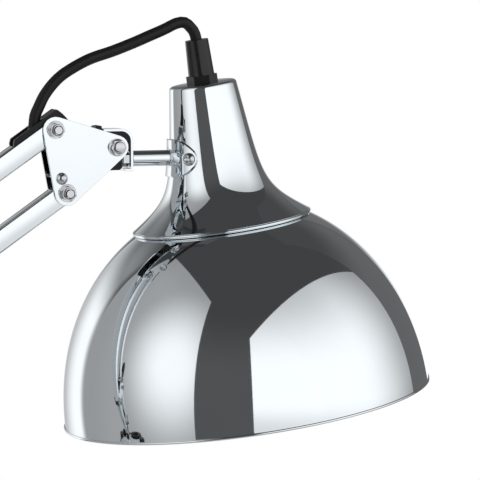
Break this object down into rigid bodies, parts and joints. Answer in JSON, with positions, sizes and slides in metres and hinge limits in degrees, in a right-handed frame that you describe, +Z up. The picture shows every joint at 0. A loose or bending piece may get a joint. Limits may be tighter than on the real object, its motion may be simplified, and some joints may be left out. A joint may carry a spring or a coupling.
{
  "type": "accordion desk lamp",
  "caption": "Adjustable desk lamp with two parallel-linkage arms, weighted round base, tilting and swivelling dome shade and coiled mains lead.",
  "frame": {"origin": "middle of the base's underside, on the table", "axes": "+Z up, +X from the stem towards the shade at rest; the arms swing in the XZ plane, near side -Y"},
  "size_m": [0.8033, 0.2, 0.3535],
  "materials": {
    "chrome": "polished",
    "zinc": "zinc plated",
    "iron": "rough cast",
    "felt": "felt",
    "cord": "matte",
    "black_rubber": "matte",
    "black_plastic": "satin",
    "rocker": "gloss",
    "nylon": "matte",
    "brass": "bright",
    "gland": "satin",
    "holder": "moulded gloss",
    "bulb_glass": "opal"
  },
  "bodies": {
    "base": {"base_cover": "chrome", "base_weight": "iron", "base_pad": "felt", "stem_socket": "chrome", "socket_nut": "zinc", "base_cord": "cord", "lead_grommet": "black_rubber", "lead_near": "cord", "switch_body": "black_plastic", "lead_far": "cord", "lead_coil": "cord", "coil_tie": "black_plastic", "plug_body": "black_rubber", "plug_pins": "brass"},
    "rocker": {"switch_rocker": "rocker"},
    "turret": {"turret_stem": "chrome", "stem_nut": "zinc", "thrust_washer": "nylon", "turret_block": "black_plastic", "turret_plate_near": "chrome", "turret_plate_far": "chrome", "turret_bolts": "zinc", "turret_nuts": "zinc", "stem_cord": "cord"},
    "knob": {"tension_knob": "black_plastic"},
    "lower_arm": {"lower_main_bar": "chrome", "lower_main_plugs": "black_plastic", "lower_arm_cord": "cord"},
    "lower_link": {"lower_link_bar": "chrome", "lower_link_plugs": "black_plastic"},
    "elbow": {"elbow_plate_near": "chrome", "elbow_plate_far": "chrome", "elbow_bolts": "zinc", "elbow_nuts": "zinc"},
    "upper_arm": {"upper_main_bar": "chrome", "upper_main_plugs": "black_plastic", "upper_arm_cord": "cord"},
    "upper_link": {"upper_link_bar": "chrome", "upper_link_plugs": "black_plastic"},
    "head_bracket": {"head_plate_near": "chrome", "head_plate_far": "chrome", "head_bolts": "zinc", "head_nuts": "zinc", "stop_screw": "zinc", "tilt_bolt": "zinc", "head_cord": "cord"},
    "knuckle": {"knuckle_block": "black_plastic", "knuckle_strap": "chrome"},
    "shade": {"swivel_shaft": "chrome", "shaft_nut": "zinc", "saddle": "chrome", "saddle_screws": "zinc", "shade_neck": "chrome", "shade_bell": "chrome", "cord_gland": "gland", "shade_cord": "cord", "nipple": "brass", "lampholder": "holder", "shade_ring": "holder", "bulb": "bulb_glass"}
  },
  "joints": [
    {"name": "base_swivel", "type": "hinge", "parent": "base", "child": "turret", "pos_m": [0, 0, 0.048], "axis": [0, 0, 1], "range_deg": [-170, 170]},
    {"name": "switch_tip", "type": "hinge", "parent": "base", "child": "rocker", "pos_m": [-0.196, 0.084, 0.0125], "axis": [0, 1, 0], "range_deg": [-14, 0]},
    {"name": "tension_turn", "type": "hinge", "parent": "turret", "child": "knob", "pos_m": [0.00926, 0.015, 0.06577], "axis": [0, 1, 0], "range_deg": [-90, 90]},
    {"name": "lower_arm_tilt", "type": "hinge", "parent": "turret", "child": "lower_arm", "pos_m": [-0.00926, 0, 0.09223], "axis": [0, -1, 0], "range_deg": [-6, 72], "deforming": ["stem_cord"]},
    {"name": "lower_link_tilt", "type": "hinge", "parent": "turret", "child": "lower_link", "pos_m": [0.00926, 0, 0.06577], "axis": [0, -1, 0], "range_deg": [-6, 72]},
    {"name": "elbow_level", "type": "hinge", "parent": "lower_arm", "child": "elbow", "pos_m": [0.1585, 0, 0.18143], "axis": [0, -1, 0], "range_deg": [-72, 6], "deforming": ["lower_arm_cord"]},
    {"name": "upper_arm_tilt", "type": "hinge", "parent": "elbow", "child": "upper_arm", "pos_m": [0.18714, 0, 0.19073], "axis": [0, -1, 0], "range_deg": [-34, 30], "deforming": ["upper_arm_cord"]},
    {"name": "upper_link_tilt", "type": "hinge", "parent": "elbow", "child": "upper_link", "pos_m": [0.19302, 0, 0.15897], "axis": [0, -1, 0], "range_deg": [-34, 30]},
    {"name": "head_level", "type": "hinge", "parent": "upper_arm", "child": "head_bracket", "pos_m": [0.34372, 0, 0.29835], "axis": [0, -1, 0], "range_deg": [-30, 34]},
    {"name": "head_tilt", "type": "hinge", "parent": "head_bracket", "child": "knuckle", "pos_m": [0.37541, 0, 0.28899], "axis": [0, -1, 0], "range_deg": [-12, 75], "deforming": ["head_cord"]},
    {"name": "shade_swivel", "type": "hinge", "parent": "knuckle", "child": "shade", "pos_m": [0.38441, 0, 0.28279], "axis": [1, 0, 0], "range_deg": [-60, 60], "deforming": ["shade_cord"]}
  ],
  "couplings": [
    {"joint": "lower_link_tilt", "follows": "lower_arm_tilt", "ratio": 1},
    {"joint": "elbow_level", "follows": "lower_arm_tilt", "ratio": -1},
    {"joint": "upper_link_tilt", "follows": "upper_arm_tilt", "ratio": 1},
    {"joint": "head_level", "follows": "upper_arm_tilt", "ratio": -1}
  ]
}
